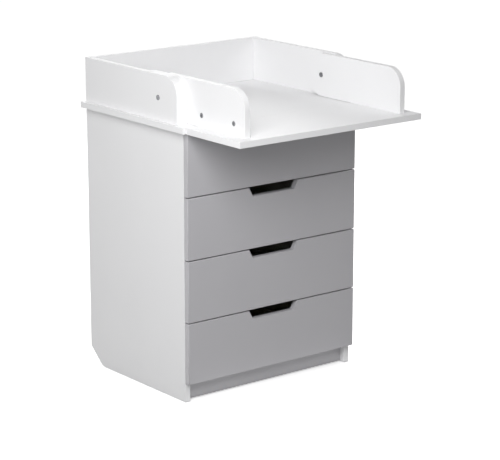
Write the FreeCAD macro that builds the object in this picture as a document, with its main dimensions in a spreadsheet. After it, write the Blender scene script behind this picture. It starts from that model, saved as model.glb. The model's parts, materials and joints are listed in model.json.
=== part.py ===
import FreeCAD, Part
import math
import os
import Sketcher
from FreeCAD import Placement, Rotation, Vector

# A changing dresser in millimetres. +Z is up and -Y is the front. The origin is on the floor,
# under the middle of the cabinet's width and of the overall depth.

doc = FreeCAD.newDocument("changing_dresser")
sheet = doc.addObject("Spreadsheet::Sheet", "Sizes")

DRIVING_SIZES = {
    # cabinet
    "cabinet_width": 620,
    "side_height": 795,
    "board": 18,
    "half_depth": 379,        # from the hinge line to the back edge and to the front edge
    "board_front": 134,       # front edge of the changing board, ahead of the hinge line
    "board_overhang": 20,     # changing board beyond each side panel
    "front_overhang": 8,      # changing board ahead of the drawer fronts
    "plinth_height": 58,
    "plinth_recess": 17,
    "floor_gap": 3,
    "foot_cut_deep": 63,      # slanted cut at the lower back of a side panel, for the skirting
    "foot_cut_high": 52,
    "foot_cut_round": 42,
    "top_setback": 45,        # front edge of the cabinet top behind the side panels, for the grip
    "shelf_cam_front": 95,
    "shelf_cam_back": 60,
    "top_screw_spread": 200,  # from the middle to the screws that hold the changing board down
    "plinth_dowel_inset": 14,
    "back_thick": 3,
    "back_inset": 12,
    "groove_deep": 6,
    # changing surround
    "rail_high": 133,
    "rail_outset": 8,         # outer face of a side rail beyond the side panel
    "rail_setback": 45,       # front end of a side rail behind the changing board's front edge
    "rail_round": 55,
    "back_rail_setback": 10,  # back rail's outer face ahead of the changing board's back edge
    "rail_screw_front": 90,   # from the ends of a side rail's inside to its screws
    "rail_screw_back": 60,
    "back_screw_spread": 160,
    "corner_dowel_inset": 33,
    "hinge_high": 66,         # hinge line above the changing board
    "swing_gap": 0.5,
    "packing_long": 150,
    "packing_screw_inset": 25,
    "leaf_rail_tail": 48,     # back end of a leaf rail behind the hinge line
    "leaf_cam_front": 50,     # from a leaf rail's front end to its first cam
    "leaf_cam_back": 20,      # from the leaf board's back edge to the second cam
    # drawers
    "front_thick": 18,
    "front_gap": 3,
    "top_gap": 4,
    "seat_gap": 1.5,
    "front_arris": 2.5,
    "grip_top": 180,
    "grip_bottom": 152,
    "grip_deep": 25,
    "box_lift": 24,
    "box_high": 120,
    "box_clear": 22,          # from a drawer box to the back panel
    "box_side": 15,
    "box_pin_high": 72,
    "drawer_bottom": 3,
    "bottom_lift": 10,
    "box_groove": 5,
    # three-part drawer slides
    "slide_gap": 12.7,
    "slide_lift": 40,
    "sheet_steel": 1.2,
    "outer_high": 45,
    "outer_deep": 9.6,
    "middle_high": 34.4,
    "middle_deep": 7.4,
    "middle_stand": 3.4,
    "inner_high": 25,
    "inner_deep": 6.3,
    "slide_lip": 3.5,
    "bend_flat": 1.5,
    # fittings
    "cam_round": 7.5,
    "cam_deep": 12.5,
    "cam_inset": 34,
    "cam_slot": 8,
    "cam_slot_back": 2.5,     # slot's end beyond the cam's axis
    "pin_round": 3,
    "pin_seat": 11,
    "bore_round": 4,
    "dowel_round": 4,
    "dowel_long": 30,
    "dowel_seat": 10,         # part of a dowel that sits in the side piece
    "screw_round": 2,
    "screw_head": 4,
    "screw_long": 30,
    "confirmat_round": 3,
    "confirmat_head": 5,
    "confirmat_long": 50,
    "head_deep": 3,
    "sleeve_round": 4.45,
    "sleeve_bore": 4.5,
    "bolt_head": 7.5,
    "bolt_head_thick": 2,
    "bolt_end_gap": 6,        # from the end of a hinge bolt to the inside of its sleeve nut
    "fit_gap": 0.1,
    "panel_gap": 0.5,         # a thin panel's edge and the end of its groove
    "nut_gap": 0.3,
}

for row, (alias, number) in enumerate(DRIVING_SIZES.items(), 1):
    sheet.set(f"A{row}", alias)
    sheet.set(f"B{row}", str(number))
    sheet.setAlias(f"B{row}", alias)
doc.recompute()


class Size:
    """A number together with the cell expression that it comes from."""

    def __init__(self, value, text=None):
        self.value = float(value)
        self.text = text or f"({float(value)})"

    def __add__(self, other):
        other = as_size(other)
        return Size(self.value + other.value, f"({self.text} + {other.text})")

    def __sub__(self, other):
        other = as_size(other)
        return Size(self.value - other.value, f"({self.text} - {other.text})")

    def __mul__(self, factor):
        return Size(self.value * factor, f"({self.text} * ({float(factor)}))")

    def __truediv__(self, divisor):
        return Size(self.value / divisor, f"({self.text} / {float(divisor)})")

    def __rsub__(self, other):
        return as_size(other) - self

    def __neg__(self):
        return self * -1

    __radd__ = __add__
    __rmul__ = __mul__


def as_size(number):
    return number if isinstance(number, Size) else Size(number)


def cell(alias):
    return Size(sheet.get(alias), f"Sizes.{alias}")


def bind(item, setting, size):
    item.setExpression(setting, as_size(size).text)


def place(item, x, y, z, turn=None):
    item.Placement = Placement(Vector(0, 0, 0), turn or Rotation())
    for axis, size in zip("xyz", (x, y, z)):
        bind(item, f"Placement.Base.{axis}", size)
    return item


NEAR_ZERO = 0.01

# Planes of a body. A pad grows along the normal, and a pocket cuts against it.
FLOOR = "XY_Plane"       # sketch x, y = body X, Y; normal +Z
FACE = "XZ_Plane"        # sketch x, y = body X, Z; normal -Y
SIDE = "YZ_Plane"        # sketch x, y = body Y, Z; normal +X

ALONG_X = Rotation(Vector(0, 1, 0), 90)
AGAINST_X = Rotation(Vector(0, 1, 0), -90)
ALONG_Y = Rotation(Vector(1, 0, 0), -90)

# Pins, dowels, screws and cams that the finished piece hides have few flats instead of a
# round side, and so have their bores.
PIN_FLATS = 8
CAM_FLATS = 12


def new_body(name):
    body = doc.addObject("PartDesign::Body", name)
    body.Label = name
    return body


def new_sketch(body, name, role, level=0):
    sketch = body.newObject("Sketcher::SketchObject", name)
    planes = {plane.Role: plane for plane in body.Origin.OriginFeatures}
    sketch.AttachmentSupport = [(planes[role], "")]
    sketch.MapMode = "FlatFace"
    bind(sketch, "AttachmentOffset.Base.z", level)
    return sketch


def fix_point(sketch, shape, point, place_x, place_y):
    for kind, size in (("DistanceX", place_x), ("DistanceY", place_y)):
        size = as_size(size)
        number = sketch.addConstraint(Sketcher.Constraint(kind, shape, point, size.value))
        bind(sketch, f"Constraints[{number}]", size)


def draw_outline(sketch, corners):
    corners = [(as_size(x), as_size(y)) for x, y in corners]
    points = [Vector(x.value, y.value, 0) for x, y in corners]
    count = len(points)
    first = sketch.GeometryCount
    for start in range(count):
        sketch.addGeometry(Part.LineSegment(points[start], points[(start + 1) % count]))
    for line in range(count):
        following = first + (line + 1) % count
        sketch.addConstraint(Sketcher.Constraint("Coincident", first + line, 2, following, 1))
    for line, (x, y) in enumerate(corners):
        fix_point(sketch, first + line, 1, x, y)


def rectangle(x_low, y_low, x_high, y_high):
    return [(x_low, y_low), (x_high, y_low), (x_high, y_high), (x_low, y_high)]


def add_pad(body, sketch, length, reverse=False):
    pad = body.newObject("PartDesign::Pad", f"{sketch.Name}_pad")
    pad.Profile = sketch
    pad.Reversed = reverse
    bind(pad, "Length", length)
    body.Tip = pad
    return pad


def add_pocket(body, sketch, depth, reverse=False):
    doc.recompute()
    volume = body.Shape.Volume
    pocket = body.newObject("PartDesign::Pocket", f"{sketch.Name}_cut")
    pocket.Profile = sketch
    pocket.Reversed = reverse
    bind(pocket, "Length", depth)
    body.Tip = pocket
    doc.recompute()
    if body.Shape.Volume >= volume:
        raise ValueError(f"{sketch.Name} cuts nothing")
    return pocket


def padded(name, role, corners, thickness, reverse=False):
    body = new_body(name)
    sketch = new_sketch(body, f"{name}_outline", role)
    draw_outline(sketch, corners)
    add_pad(body, sketch, thickness, reverse)
    return body


def cut_slot(body, name, role, level, corners, depth, reverse=False):
    sketch = new_sketch(body, f"{body.Name}_{name}", role, level)
    draw_outline(sketch, corners)
    add_pocket(body, sketch, depth, reverse)


def flats(x, y, radius, count):
    """The corners of a regular outline round (x, y)."""
    turns = [math.tau * step / count for step in range(count)]
    waves = [(round(math.cos(turn), 9), round(math.sin(turn), 9)) for turn in turns]
    return [(x + radius * across, y + radius * up) for across, up in waves]


def draw_circle(sketch, x, y, radius):
    x, y, radius = as_size(x), as_size(y), as_size(radius)
    centre = Vector(x.value, y.value, 0)
    number = sketch.addGeometry(Part.Circle(centre, Vector(0, 0, 1), radius.value))
    fix_point(sketch, number, 3, x, y)
    dial = sketch.addConstraint(Sketcher.Constraint("Radius", number, radius.value))
    bind(sketch, f"Constraints[{dial}]", radius)


def bore(body, name, role, level, centres, radius, depth, reverse=False, count=0):
    """Holes in one face of a body: round ones, or ones with so many flats."""
    sketch = new_sketch(body, f"{body.Name}_{name}", role, level)
    for x, y in centres:
        if count:
            draw_outline(sketch, flats(x, y, radius, count))
        else:
            draw_circle(sketch, x, y, radius)
    add_pocket(body, sketch, depth, reverse)


def round_edges(body, name, radius, belongs):
    doc.recompute()
    base = body.Tip
    names = [f"Edge{n}" for n, edge in enumerate(base.Shape.Edges, 1) if belongs(edge)]
    if not names:
        raise ValueError(f"{body.Name} has no edge for {name}")
    fillet = body.newObject("PartDesign::Fillet", f"{body.Name}_{name}")
    fillet.Base = (base, names)
    bind(fillet, "Radius", radius)
    body.Tip = fillet


def edge_at(y, z):
    """Tests for an edge parallel to X through the place (y, z) of a body."""
    y, z = as_size(y).value, as_size(z).value

    def belongs(edge):
        box = edge.BoundBox
        misses = (box.YLength, box.ZLength, abs(box.YMin - y), abs(box.ZMin - z))
        return max(misses) < NEAR_ZERO

    return belongs


def rod(name, radius, length, x, y, z, turn=None, count=0):
    """A round rod along its own +Z, or one with so many flats."""
    item = doc.addObject("Part::Prism" if count else "Part::Cylinder", name)
    if count:
        item.Polygon = count
    bind(item, "Circumradius" if count else "Radius", radius)
    bind(item, "Height", length)
    return place(item, x, y, z, turn)


def joined(name, kind, pieces):
    item = doc.addObject(kind, name)
    if kind == "Part::Compound":
        item.Links = pieces
    else:
        item.Shapes = pieces
    item.Label = name
    return item


# Levels and faces that several pieces share.
width = cell("cabinet_width")
board = cell("board")
side_high = cell("side_height")
back_edge = cell("half_depth")
fit = cell("fit_gap")
groove_deep = cell("groove_deep")
inner_half = width / 2 - board
front_face = cell("front_overhang") - cell("board_front")
front_back = front_face + cell("front_thick")
side_front = front_back + cell("seat_gap")
side_deep = back_edge - side_front
back_face = back_edge - cell("back_inset")
shelf_deep = back_face - cell("back_thick") - side_front
surface = side_high + board
hinge_level = surface + cell("hinge_high")

# What every cam joint shares: the pin runs from its seat in one board to the cam in the other.
cam_inset = cell("cam_inset")
cam_seat_round = cell("cam_round") + fit
cam_seat_deep = cell("cam_deep") + fit
pin_seat = cell("pin_seat")
pin_seat_round = cell("pin_round") + fit
pin_long = pin_seat + cam_inset
dowel_hole_round = cell("dowel_round") + fit
dowel_long_hole = cell("dowel_long") - cell("dowel_seat") + fit
dowel_short_hole = cell("dowel_seat") + fit
screw_hole_round = cell("screw_round") + fit
screw_head_round = cell("screw_head") + fit
screw_bite = cell("screw_long") - board + fit


# ---------------------------------------------------------------- fittings

def cam(name, pin_level, count, x, y, z, turn, slot_turn):
    """A cam housing: a disc along its own +Z, with an open slot that takes the pin."""
    disc = rod(f"{name}_disc", cell("cam_round"), cell("cam_deep"), 0, 0, 0, count=count)
    slot = doc.addObject("Part::Box", f"{name}_slot")
    bind(slot, "Length", cell("cam_round") * 2)
    bind(slot, "Width", cell("cam_slot"))
    bind(slot, "Height", cell("cam_deep"))
    slot_low = pin_level - cell("cam_slot") / 2
    place(slot, -cell("cam_slot_back"), -(cell("cam_slot") / 2), slot_low)
    item = doc.addObject("Part::Cut", name)
    item.Base = disc
    item.Tool = slot
    return place(item, x, y, z, turn * Rotation(Vector(0, 0, 1), slot_turn))


def screw(name, radius, head_radius, length, x, y, z, turn=None):
    """A flush-headed screw along its own +Z, with its head at its start."""
    shank = rod(f"{name}_shank", radius, length, 0, 0, 0, count=PIN_FLATS)
    head = rod(f"{name}_head", head_radius, cell("head_deep"), 0, 0, 0, count=PIN_FLATS)
    item = joined(name, "Part::MultiFuse", [shank, head])
    return place(item, x, y, z, turn)


# ---------------------------------------------------------------- cabinet

shelf_rows = (cell("shelf_cam_front"), shelf_deep - cell("shelf_cam_back"))
shelf_levels = {"cabinet_top": side_high - board, "bottom_panel": cell("plinth_height")}
plinth_row = cell("plinth_recess") + board / 2
plinth_dowels = (
    cell("floor_gap") + cell("plinth_dowel_inset"),
    cell("plinth_height") - cell("plinth_dowel_inset"),
)


def side_panel(name, x, inner_level, cut_reverse):
    """A side panel, cut off at its lower back corner to clear a skirting board."""
    foot = side_deep - cell("foot_cut_deep")
    corners = [
        (0, 0),
        (foot, 0),
        (side_deep, cell("foot_cut_high")),
        (side_deep, side_high),
        (0, side_high),
    ]
    body = padded(name, SIDE, corners, board)
    round_edges(body, "foot", cell("foot_cut_round"), edge_at(foot, 0))
    groove_back = side_deep - cell("back_inset") + fit
    groove_front = groove_back - cell("back_thick") - fit * 2
    groove = rectangle(groove_front, cell("plinth_height"), groove_back, side_high)
    cut_slot(body, "groove", SIDE, inner_level, groove, groove_deep, cut_reverse)
    pins = [(row, level + board / 2) for level in shelf_levels.values() for row in shelf_rows]
    pin_hole_deep = pin_seat + fit
    bore(body, "pins", SIDE, inner_level, pins, pin_seat_round, pin_hole_deep, cut_reverse, PIN_FLATS)
    dowels = [(plinth_row, level) for level in plinth_dowels]
    bore(
        body, "dowels", SIDE, inner_level, dowels,
        dowel_hole_round, dowel_short_hole, cut_reverse, PIN_FLATS,
    )
    return place(body, x, side_front, 0)


side_panel("side_panel_left", -(width / 2), board, False)
side_panel("side_panel_right", inner_half, Size(0), True)


def shelf(name, front):
    """A board between the side panels, with cam housings in its underside."""
    body = padded(name, FLOOR, rectangle(-inner_half, front, inner_half, shelf_deep), board)
    cams = [(side * (inner_half - cam_inset), row) for side in (-1, 1) for row in shelf_rows]
    bore(body, "cams", FLOOR, 0, cams, cam_seat_round, cam_seat_deep, True, CAM_FLATS)
    pins = [(row, board / 2) for row in shelf_rows]
    way = cell("bore_round")
    bore(body, "pins_left", SIDE, -inner_half, pins, way, cam_inset, True, PIN_FLATS)
    bore(body, "pins_right", SIDE, inner_half, pins, way, cam_inset, False, PIN_FLATS)
    return place(body, 0, side_front, shelf_levels[name])


cabinet_top = shelf("cabinet_top", cell("top_setback"))
shelf("bottom_panel", Size(0))

top_screws = [(side * cell("top_screw_spread"), row) for side in (-1, 1) for row in shelf_rows]
bore(cabinet_top, "screws", FLOOR, 0, top_screws, screw_hole_round, board, True, PIN_FLATS)
head_deep = cell("head_deep")
bore(cabinet_top, "heads", FLOOR, 0, top_screws, screw_head_round, head_deep, True, PIN_FLATS)

back_half = inner_half + groove_deep - cell("panel_gap")
back_high = side_high - cell("plinth_height")
back_corners = rectangle(-back_half, 0, back_half, back_high)
back_panel = padded("back_panel", FACE, back_corners, cell("back_thick"))
place(back_panel, 0, back_face, cell("plinth_height"))

plinth_high = cell("plinth_height") - cell("floor_gap")
plinth_corners = rectangle(-inner_half, 0, inner_half, plinth_high)
plinth = padded("plinth_board", FACE, plinth_corners, board, True)
plinth_holes = [(board / 2, level - cell("floor_gap")) for level in plinth_dowels]
for side, tag in ((-1, "left"), (1, "right")):
    bore(
        plinth, f"dowels_{tag}", SIDE, side * inner_half, plinth_holes,
        dowel_hole_round, dowel_long_hole, side < 0, PIN_FLATS,
    )
place(plinth, 0, side_front + cell("plinth_recess"), cell("floor_gap"))

cams = []
pins = []
for shelf_name, level in shelf_levels.items():
    for side, tag in ((-1, "left"), (1, "right")):
        for number, row in enumerate(shelf_rows):
            name = f"{shelf_name}_{tag}_{number}"
            y = side_front + row
            cam_x = side * (inner_half - cam_inset)
            slot_turn = 90 - 90 * side
            cams.append(
                cam(f"cam_{name}", board / 2, CAM_FLATS, cam_x, y, level, Rotation(), slot_turn)
            )
            turn = ALONG_X if side > 0 else AGAINST_X
            mid = level + board / 2
            pins.append(
                rod(f"pin_{name}", cell("pin_round"), pin_long, cam_x, y, mid, turn, PIN_FLATS)
            )
joined("cabinet_cams", "Part::Compound", cams)
joined("cabinet_cam_pins", "Part::Compound", pins)


# ---------------------------------------------------------------- changing surround

board_half = width / 2 + cell("board_overhang")
rail_face = width / 2 + cell("rail_outset")
rail_inside = rail_face - board
rail_high = cell("rail_high")
rail_front = cell("rail_setback") - cell("board_front")
back_rail_face = back_edge - cell("back_rail_setback")
back_rail_inside = back_rail_face - board
back_rail_row = back_rail_face - board / 2
rail_rows = (rail_front + cell("rail_screw_front"), back_rail_inside - cell("rail_screw_back"))
corner_levels = (cell("corner_dowel_inset"), rail_high - cell("corner_dowel_inset"))
confirmat_hole = cell("confirmat_round") + fit
confirmat_head_hole = cell("confirmat_head") + fit
confirmat_bite = cell("confirmat_long") - board + fit

side_rail_row = rail_face - board / 2
side_screws = [(side * side_rail_row, row) for side in (-1, 1) for row in rail_rows]
back_screws = [(side * cell("back_screw_spread"), back_rail_row) for side in (-1, 1)]
rail_screws = side_screws + back_screws
top_screw_ends = [(x, side_front + row) for x, row in top_screws]

changing_corners = rectangle(-board_half, -cell("board_front"), board_half, back_edge)
changing = padded("changing_board", FLOOR, changing_corners, board)
bore(changing, "screws", FLOOR, 0, rail_screws, confirmat_hole, board, True, PIN_FLATS)
bore(changing, "heads", FLOOR, 0, rail_screws, confirmat_head_hole, head_deep, True, PIN_FLATS)
bore(changing, "ends", FLOOR, 0, top_screw_ends, screw_hole_round, screw_bite, True, PIN_FLATS)
place(changing, 0, 0, side_high)


def surround_rail(name, x, long):
    """A rail along the left or right, with a rounded front corner and the hinge's bore."""
    corners = rectangle(rail_front, 0, rail_front + long, rail_high)
    body = padded(name, SIDE, corners, board)
    round_edges(body, "nose", cell("rail_round"), edge_at(rail_front, rail_high))
    bore(body, "hinge", SIDE, board, [(0, cell("hinge_high"))], cell("sleeve_bore"), board)
    return place(body, x, 0, surface)


def side_rail(name, x, inner_level, cut_reverse):
    body = surround_rail(name, x, back_rail_face - rail_front)
    dowels = [(back_rail_row, level) for level in corner_levels]
    bore(
        body, "dowels", SIDE, inner_level, dowels,
        dowel_hole_round, dowel_short_hole, cut_reverse, PIN_FLATS,
    )
    screws = [(board / 2, row) for row in rail_rows]
    bore(body, "screws", FLOOR, 0, screws, confirmat_hole, confirmat_bite, True, PIN_FLATS)
    return body


rail_left = side_rail("rail_left", -rail_face, board, False)
side_rail("rail_right", rail_inside, Size(0), True)

back_rail_corners = rectangle(-rail_inside, 0, rail_inside, rail_high)
rail_back = padded("rail_back", FACE, back_rail_corners, board, True)
corner_holes = [(board / 2, level) for level in corner_levels]
for side, tag in ((-1, "left"), (1, "right")):
    bore(
        rail_back, f"dowels_{tag}", SIDE, side * rail_inside, corner_holes,
        dowel_hole_round, dowel_long_hole, side < 0, PIN_FLATS,
    )
back_screw_ends = [(x, board / 2) for x, _ in back_screws]
bore(rail_back, "screws", FLOOR, 0, back_screw_ends, confirmat_hole, confirmat_bite, True, PIN_FLATS)
place(rail_back, 0, back_rail_inside, surface)

# The packing board fills the left side, where the surround is wider than the leaf.
packing = surround_rail("packing_board", -rail_inside, cell("packing_long"))
packing_inset = cell("packing_screw_inset")
packing_back = rail_front + cell("packing_long")
packing_screws = [
    (rail_front + packing_inset, packing_inset),
    (packing_back - packing_inset, rail_high - packing_inset),
]
bore(packing, "screws", SIDE, board, packing_screws, screw_hole_round, board, False, PIN_FLATS)
bore(packing, "heads", SIDE, board, packing_screws, screw_head_round, head_deep, False, PIN_FLATS)
bore(rail_left, "ends", SIDE, board, packing_screws, screw_hole_round, screw_bite, False, PIN_FLATS)

confirmat = (cell("confirmat_round"), cell("confirmat_head"), cell("confirmat_long"))
surround_screws = [
    screw(f"rail_screw_{number}", *confirmat, x, y, side_high)
    for number, (x, y) in enumerate(rail_screws)
]
joined("rail_screws", "Part::Compound", surround_screws)

small_screw = (cell("screw_round"), cell("screw_head"), cell("screw_long"))
wood_screws = [
    screw(f"top_screw_{number}", *small_screw, x, y, side_high - board)
    for number, (x, y) in enumerate(top_screw_ends)
]
packing_face = board - rail_inside
wood_screws += [
    screw(f"packing_screw_{number}", *small_screw, packing_face, y, surface + z, AGAINST_X)
    for number, (y, z) in enumerate(packing_screws)
]
joined("wood_screws", "Part::Compound", wood_screws)

dowel_places = [(inner_half, side_front + plinth_row, level) for level in plinth_dowels]
dowel_places += [(rail_inside, back_rail_row, surface + level) for level in corner_levels]
dowels = []
for number, (reach, y, z) in enumerate(dowel_places):
    for side, turn in ((-1, ALONG_X), (1, AGAINST_X)):
        start = side * (reach + cell("dowel_seat"))
        name = f"dowel_{number}_{'left' if side < 0 else 'right'}"
        dowels.append(
            rod(name, cell("dowel_round"), cell("dowel_long"), start, y, z, turn, PIN_FLATS)
        )
joined("dowels", "Part::Compound", dowels)


# ---------------------------------------------------------------- folding leaf

leaf_shift = board / 2
leaf_gap = cell("swing_gap")
leaf_rail_left = board + leaf_gap - rail_inside
leaf_rail_right = rail_inside - leaf_gap - board
leaf_seam = -(cell("board_front") + leaf_gap)
leaf_reach = leaf_gap * 2 - back_rail_inside
leaf_top = cell("hinge_high") * 2 - leaf_gap * 2
leaf_rows = (leaf_seam - cell("leaf_cam_back"), leaf_reach + cell("leaf_cam_front"))

leaf_corners = rectangle(-board_half, 0, board_half, back_edge + leaf_seam)
leaf_board = padded("leaf_board", FLOOR, leaf_corners, board)
leaf_pin_rows = [x + board / 2 - leaf_shift for x in (leaf_rail_left, leaf_rail_right)]
leaf_pins = [(x, y + back_edge) for x in leaf_pin_rows for y in leaf_rows]
bore(leaf_board, "pins", FLOOR, board, leaf_pins, pin_seat_round, pin_seat + fit, False, PIN_FLATS)
place(leaf_board, leaf_shift, -back_edge, side_high)


def leaf_rail(name, x, cam_level, cut_reverse):
    """A leaf rail about the hinge line. Its tail is round, so that it turns clear of the board."""
    body = new_body(name)
    sketch = new_sketch(body, f"{name}_outline", SIDE)
    hinge_high = cell("hinge_high")
    tail = cell("leaf_rail_tail")
    clear = leaf_gap * 2
    centre = Vector(0, hinge_high.value, 0)
    circle = Part.Circle(centre, Vector(0, 0, 1), (hinge_high - clear).value)
    rise = math.sqrt(circle.Radius**2 - tail.value**2)
    low = Vector(tail.value, centre.y - rise, 0)
    high = Vector(tail.value, centre.y + rise, 0)
    corners = [
        (Size(0), leaf_top),
        (leaf_reach, leaf_top),
        (leaf_reach, Size(0)),
        (leaf_seam, Size(0)),
        (leaf_seam, clear),
        (Size(0), clear),
    ]
    points = [Vector(y.value, z.value, 0) for y, z in corners]
    for start, end in zip(points, points[1:]):
        sketch.addGeometry(Part.LineSegment(start, end))
    last_line = len(points) - 2

    def arc(start, end):
        ends = (circle.parameter(start), circle.parameter(end))
        return sketch.addGeometry(Part.ArcOfCircle(circle, *ends))

    lower_arc = arc(points[-1], low)
    back_line = sketch.addGeometry(Part.LineSegment(low, high))
    upper_arc = arc(high, points[0])
    meetings = [(line, 2, line + 1, 1) for line in range(last_line)]
    meetings += [(last_line, 2, lower_arc, 1), (lower_arc, 2, back_line, 1)]
    meetings += [(back_line, 2, upper_arc, 1), (upper_arc, 2, 0, 1), (upper_arc, 3, lower_arc, 3)]
    for line, (y, z) in enumerate(corners[:-1]):
        fix_point(sketch, line, 1, y, z)
    fix_point(sketch, last_line, 2, *corners[-1])
    for meeting in meetings:
        sketch.addConstraint(Sketcher.Constraint("Coincident", *meeting))
    fix_point(sketch, lower_arc, 3, 0, hinge_high)
    sketch.addConstraint(Sketcher.Constraint("Vertical", back_line))
    reach_back = sketch.addConstraint(Sketcher.Constraint("DistanceX", back_line, 1, tail.value))
    bind(sketch, f"Constraints[{reach_back}]", tail)
    add_pad(body, sketch, board)
    round_edges(body, "nose", cell("rail_round"), edge_at(leaf_reach, leaf_top))
    bore(body, "hinge", SIDE, board, [(0, hinge_high)], cell("sleeve_bore"), board)
    cam_seats = [(y, cam_inset) for y in leaf_rows]
    bore(body, "cams", SIDE, cam_level, cam_seats, cam_seat_round, cam_seat_deep, cut_reverse)
    pin_ways = [(board / 2, y) for y in leaf_rows]
    bore(body, "pins", FLOOR, 0, pin_ways, cell("bore_round"), cam_inset, True, PIN_FLATS)
    return place(body, x, 0, surface)


leaf_rail("leaf_rail_left", leaf_rail_left, Size(0), True)
leaf_rail("leaf_rail_right", leaf_rail_right, board, False)

leaf_cams = []
leaf_cam_pins = []
leaf_sides = (
    ("left", leaf_rail_left, leaf_rail_left + board, ALONG_X, 0),
    ("right", leaf_rail_right + board, leaf_rail_right, AGAINST_X, 180),
)
for tag, outer_face, inner_face, turn, slot_turn in leaf_sides:
    middle = (outer_face + inner_face) / 2
    for number, y in enumerate(leaf_rows):
        name = f"leaf_{tag}_{number}"
        level = surface + cam_inset
        leaf_cams.append(cam(f"cam_{name}", board / 2, 0, outer_face, y, level, turn, slot_turn))
        pin_low = surface - pin_seat
        leaf_cam_pins.append(
            rod(f"pin_{name}", cell("pin_round"), pin_long, middle, y, pin_low, None, PIN_FLATS)
        )
joined("leaf_cams", "Part::Compound", leaf_cams)
joined("leaf_cam_pins", "Part::Compound", leaf_cam_pins)

# Each hinge is a flat-headed bolt from outside in a sleeve nut from inside.
bolts = []
sleeves = []
sleeve_set = cell("bolt_head_thick") * 3
for side, (tag, _, leaf_inside, turn, _) in zip((-1, 1), leaf_sides):
    outside = side * rail_face
    grip = (leaf_inside - outside) * -side
    head_x = outside + side * cell("bolt_head_thick")
    flat_head = (cell("bolt_head"), cell("bolt_head_thick"))
    head = rod(f"hinge_head_{tag}", *flat_head, head_x, 0, hinge_level, turn)
    shank_long = grip - cell("bolt_end_gap")
    shank = rod(f"hinge_shank_{tag}", cell("pin_round"), shank_long, outside, 0, hinge_level, turn)
    bolts.append(joined(f"hinge_bolt_{tag}", "Part::MultiFuse", [head, shank]))
    sleeve_x = outside - side * sleeve_set
    sleeve_long = grip - sleeve_set + cell("nut_gap")
    barrel_size = (cell("sleeve_round"), sleeve_long)
    barrel = rod(f"sleeve_barrel_{tag}", *barrel_size, sleeve_x, 0, hinge_level, turn)
    flange_x = leaf_inside - side * cell("nut_gap")
    flange = rod(f"sleeve_flange_{tag}", *flat_head, flange_x, 0, hinge_level, turn)
    solid = joined(f"sleeve_solid_{tag}", "Part::MultiFuse", [barrel, flange])
    thread_size = (cell("pin_round") + fit / 2, shank_long - sleeve_set + cell("nut_gap"))
    thread = rod(f"sleeve_thread_{tag}", *thread_size, sleeve_x, 0, hinge_level, turn)
    sleeve = doc.addObject("Part::Cut", f"hinge_sleeve_{tag}")
    sleeve.Base = solid
    sleeve.Tool = thread
    sleeves.append(sleeve)
joined("hinge_bolts", "Part::Compound", bolts)
joined("hinge_sleeves", "Part::Compound", sleeves)


# ---------------------------------------------------------------- drawer slides

box_back = back_face - cell("back_thick") - cell("box_clear")
box_long = box_back - front_back
front_high_sum = side_high - cell("top_gap") - cell("plinth_height") - cell("front_gap") * 3
front_high = front_high_sum / 4
front_pitch = front_high + cell("front_gap")
drawer_levels = {n: cell("plinth_height") + (4 - n) * front_pitch for n in (1, 2, 3, 4)}
slide_rise = cell("box_lift") + cell("slide_lift")
slide_levels = {number: level + slide_rise for number, level in drawer_levels.items()}


def channel(name, side, web, deep, high, z):
    """A rolled steel channel along Y: its web stands at x = web and its lips point at side."""
    thick = cell("sheet_steel")
    lip = cell("slide_lip")
    bend = cell("bend_flat")
    half = high / 2
    upper = [
        (0, half - bend),
        (bend, half),
        (deep - bend, half),
        (deep, half - bend),
        (deep, half - lip),
        (deep - thick, half - lip),
        (deep - thick, half - thick),
        (thick, half - thick),
    ]
    lower = [(x, -level) for x, level in reversed(upper)]
    section = [(side * as_size(x), level) for x, level in upper + lower]
    body = padded(name, FACE, section, box_long, True)
    return place(body, web, side_front + cell("seat_gap"), z)


for side, tag in ((-1, "left"), (1, "right")):
    outer_size = (cell("outer_deep"), cell("outer_high"))
    members = [
        channel(f"outer_member_{tag}_{number}", -side, side * inner_half, *outer_size, level)
        for number, level in slide_levels.items()
    ]
    joined(f"slide_outer_{tag}", "Part::Compound", members)

for number, level in slide_levels.items():
    middle = []
    inner = []
    for side, tag in ((-1, "left"), (1, "right")):
        middle_size = (cell("middle_deep"), cell("middle_high"))
        middle_web = side * (inner_half - cell("middle_stand"))
        name = f"middle_member_{tag}_{number}"
        middle.append(channel(name, -side, middle_web, *middle_size, level))
        inner_size = (cell("inner_deep"), cell("inner_high"))
        inner_web = side * (inner_half - cell("slide_gap"))
        name = f"inner_member_{tag}_{number}"
        inner.append(channel(name, side, inner_web, *inner_size, level))
    joined(f"slide_middle_{number}", "Part::Compound", middle)
    joined(f"slide_inner_{number}", "Part::Compound", inner)


# ---------------------------------------------------------------- drawers

box_half = inner_half - cell("slide_gap")
box_inside = box_half - cell("box_side")
box_axis = box_half - cell("box_side") / 2
box_lift = cell("box_lift")
box_pin = cell("box_pin_high")
tongue = cell("box_groove")
bottom_low = cell("bottom_lift") - fit
bottom_high = cell("bottom_lift") + cell("drawer_bottom") + fit


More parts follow.
